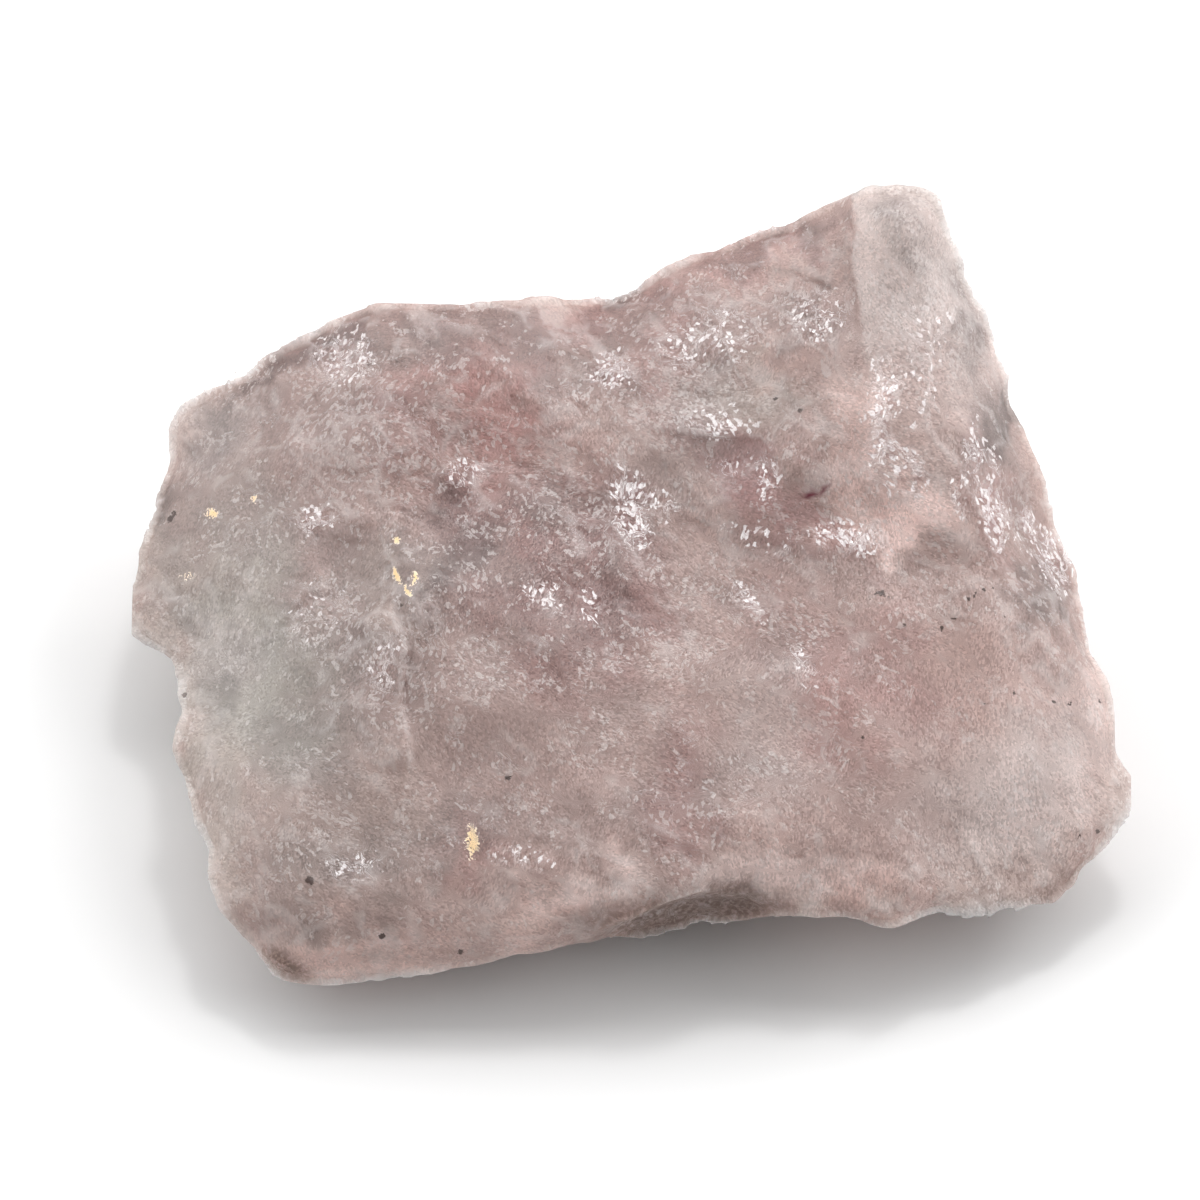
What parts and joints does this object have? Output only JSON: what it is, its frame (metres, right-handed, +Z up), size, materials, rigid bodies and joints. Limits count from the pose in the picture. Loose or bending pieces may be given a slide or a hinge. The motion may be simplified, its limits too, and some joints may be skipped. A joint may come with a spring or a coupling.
{
  "type": "rough morganite specimen",
  "caption": "Hand-sized rough lump of cloudy pale pink morganite, broken on every side, with a flat break to lie on.",
  "frame": {"origin": "middle of the lump's plan, on the plane that it rests on", "axes": "+X along the longest way across, towards the high end; +Z up from the flat break; the low edge faces -Y"},
  "size_m": [0.1002, 0.0748, 0.0416],
  "materials": {
    "cloudy_pink_beryl": "satin"
  },
  "bodies": {
    "root": {"morganite": "cloudy_pink_beryl"}
  },
  "joints": []
}
